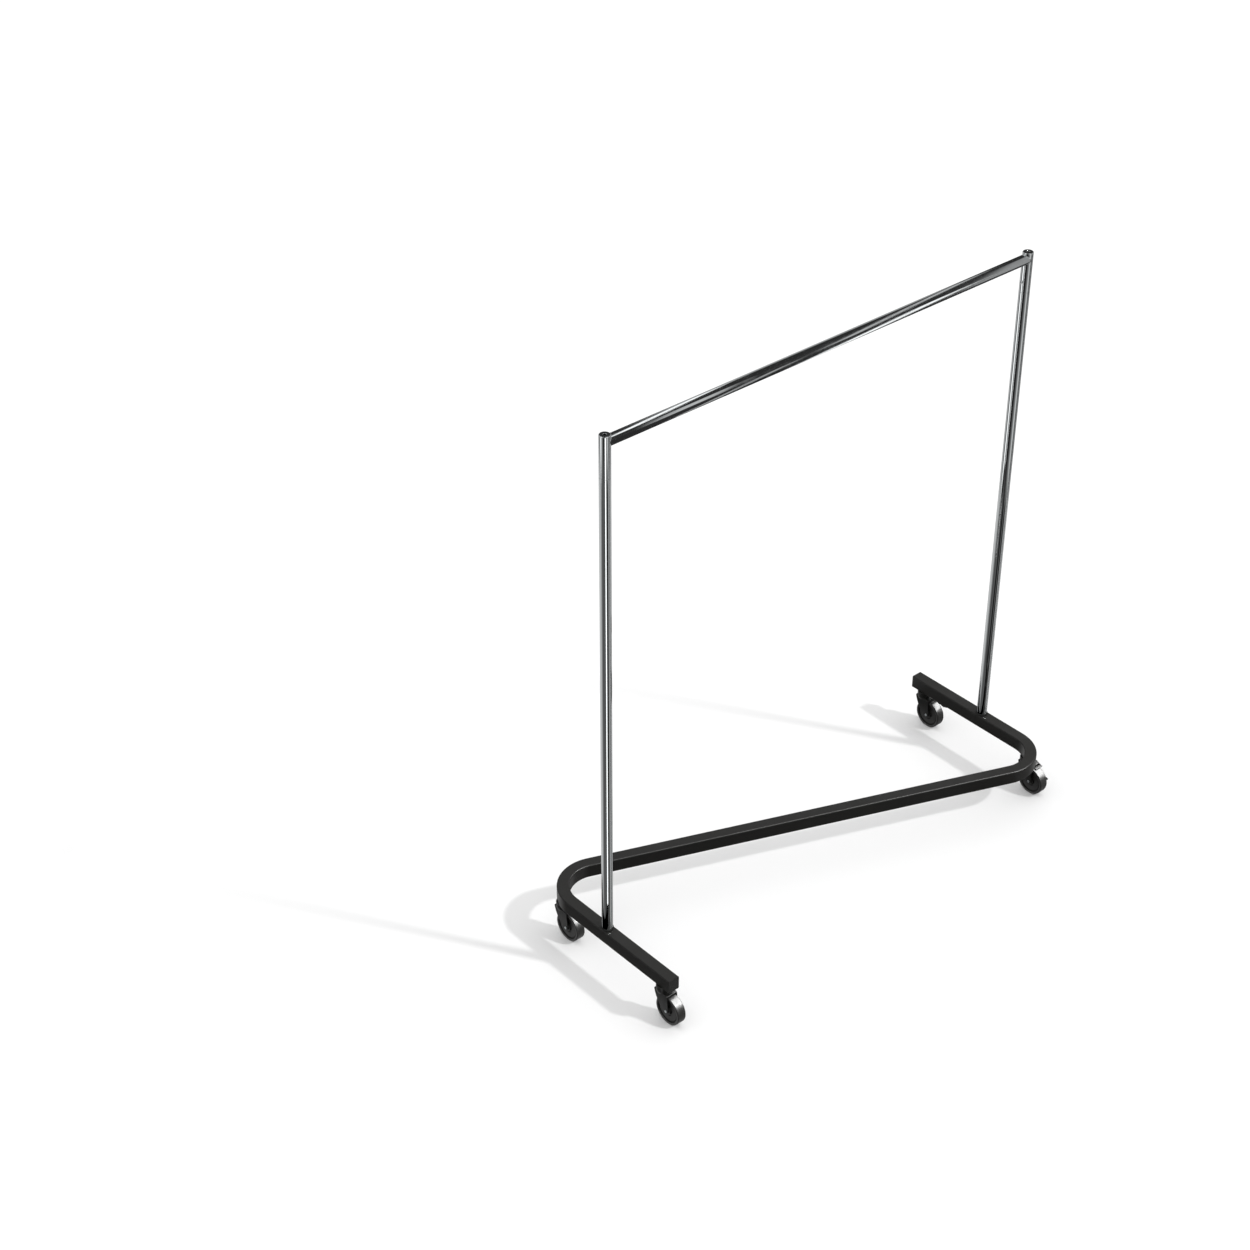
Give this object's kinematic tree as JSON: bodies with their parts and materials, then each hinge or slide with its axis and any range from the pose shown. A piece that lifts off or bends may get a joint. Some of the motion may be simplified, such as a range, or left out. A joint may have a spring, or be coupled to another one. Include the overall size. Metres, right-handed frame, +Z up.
{
  "type": "garment rail",
  "caption": "Chrome garment rail with a hanging bar between two round uprights, on a black Z-shaped nesting base with swivel casters.",
  "frame": {"origin": "on the floor, at the middle of the base, under the middle of the hanging bar", "axes": "+Z up, X along the hanging bar, Y along the two legs; the base and the rail are the same after half a turn about Z, apart from how the casters lie"},
  "size_m": [1.5092, 0.5641, 1.66],
  "materials": {
    "chrome_plate": "bright polished chrome plate on steel tube",
    "black_powder_coat": "satin black powder coat",
    "black_coated_steel": "black coated steel",
    "black_moulded_plastic": "satin moulded nylon",
    "wheel_plastic": "satin moulded polypropylene",
    "tyre_rubber": "smooth black rubber, slightly glossy",
    "zinc_plated_steel": "zinc plate",
    "plain_steel": "plain drawn steel",
    "spring_steel": "tempered strip",
    "bearing_steel": "polished balls"
  },
  "bodies": {
    "frame": {"base_tube": "black_powder_coat", "left_leg_cap": "black_moulded_plastic", "right_leg_cap": "black_moulded_plastic", "caster_weld_nuts": "plain_steel", "foot_washers": "zinc_plated_steel", "foot_bolts": "zinc_plated_steel", "left_foot_ring": "black_moulded_plastic", "right_foot_ring": "black_moulded_plastic", "left_foot_plug": "plain_steel", "right_foot_plug": "plain_steel", "left_upright": "chrome_plate", "right_upright": "chrome_plate", "left_spigot": "plain_steel", "right_spigot": "plain_steel", "left_button_spring": "spring_steel", "right_button_spring": "spring_steel", "left_top_post": "chrome_plate", "right_top_post": "chrome_plate", "left_top_cap": "chrome_plate", "right_top_cap": "chrome_plate", "hanging_bar": "chrome_plate", "left_front_stem": "black_coated_steel", "left_rear_stem": "black_coated_steel", "right_front_stem": "black_coated_steel", "right_rear_stem": "black_coated_steel"},
    "left_front_swivel": {"left_front_balls": "bearing_steel", "left_front_fork": "black_moulded_plastic", "left_front_axle": "zinc_plated_steel"},
    "left_front_roller": {"left_front_bush": "plain_steel", "left_front_wheel": "wheel_plastic", "left_front_tyre": "tyre_rubber"},
    "left_rear_swivel": {"left_rear_balls": "bearing_steel", "left_rear_fork": "black_moulded_plastic", "left_rear_axle": "zinc_plated_steel"},
    "left_rear_roller": {"left_rear_bush": "plain_steel", "left_rear_wheel": "wheel_plastic", "left_rear_tyre": "tyre_rubber"},
    "right_front_swivel": {"right_front_balls": "bearing_steel", "right_front_fork": "black_moulded_plastic", "right_front_axle": "zinc_plated_steel", "right_front_brake_pin": "zinc_plated_steel"},
    "right_front_roller": {"right_front_bush": "plain_steel", "right_front_wheel": "wheel_plastic", "right_front_tyre": "tyre_rubber"},
    "right_front_brake": {"right_front_brake_lever": "black_moulded_plastic"},
    "right_rear_swivel": {"right_rear_balls": "bearing_steel", "right_rear_fork": "black_moulded_plastic", "right_rear_axle": "zinc_plated_steel", "right_rear_brake_pin": "zinc_plated_steel"},
    "right_rear_roller": {"right_rear_bush": "plain_steel", "right_rear_wheel": "wheel_plastic", "right_rear_tyre": "tyre_rubber"},
    "right_rear_brake": {"right_rear_brake_lever": "black_moulded_plastic"},
    "left_latch": {"left_snap_button": "chrome_plate"},
    "right_latch": {"right_snap_button": "chrome_plate"}
  },
  "joints": [
    {"name": "left_front_swivel_turn", "type": "hinge", "parent": "frame", "child": "left_front_swivel", "pos_m": [-0.7325, -0.227, 0.105], "axis": [0, 0, 1], "continuous": true},
    {"name": "left_front_wheel_spin", "type": "hinge", "parent": "left_front_swivel", "child": "left_front_roller", "pos_m": [-0.7325, -0.255, 0.044], "axis": [1, 0, 0], "continuous": true},
    {"name": "left_rear_swivel_turn", "type": "hinge", "parent": "frame", "child": "left_rear_swivel", "pos_m": [-0.71996, 0.19617, 0.105], "axis": [0, 0, 1], "continuous": true},
    {"name": "left_rear_wheel_spin", "type": "hinge", "parent": "left_rear_swivel", "child": "left_rear_roller", "pos_m": [-0.71996, 0.16817, 0.044], "axis": [1, 0, 0], "continuous": true},
    {"name": "right_front_swivel_turn", "type": "hinge", "parent": "frame", "child": "right_front_swivel", "pos_m": [0.71996, -0.19617, 0.105], "axis": [0, 0, 1], "continuous": true},
    {"name": "right_front_wheel_spin", "type": "hinge", "parent": "right_front_swivel", "child": "right_front_roller", "pos_m": [0.71996, -0.22417, 0.044], "axis": [1, 0, 0], "continuous": true},
    {"name": "right_front_brake_tilt", "type": "hinge", "parent": "right_front_swivel", "child": "right_front_brake", "pos_m": [0.73961, -0.21617, 0.092], "axis": [-1, 0, 0], "range_deg": [0, 30]},
    {"name": "right_rear_swivel_turn", "type": "hinge", "parent": "frame", "child": "right_rear_swivel", "pos_m": [0.7325, 0.227, 0.105], "axis": [0, 0, 1], "continuous": true},
    {"name": "right_rear_wheel_spin", "type": "hinge", "parent": "right_rear_swivel", "child": "right_rear_roller", "pos_m": [0.7325, 0.199, 0.044], "axis": [1, 0, 0], "continuous": true},
    {"name": "right_rear_brake_tilt", "type": "hinge", "parent": "right_rear_swivel", "child": "right_rear_brake", "pos_m": [0.75215, 0.207, 0.092], "axis": [-1, 0, 0], "range_deg": [-30, 0]},
    {"name": "left_button_press", "type": "slide", "parent": "frame", "child": "left_latch", "axis": [-1, 0, 0], "range_m": [0, 0.0042], "stiffness_N_per_m": 900, "deforming": ["left_button_spring"]},
    {"name": "right_button_press", "type": "slide", "parent": "frame", "child": "right_latch", "axis": [1, 0, 0], "range_m": [0, 0.0042], "stiffness_N_per_m": 900, "deforming": ["right_button_spring"]}
  ]
}
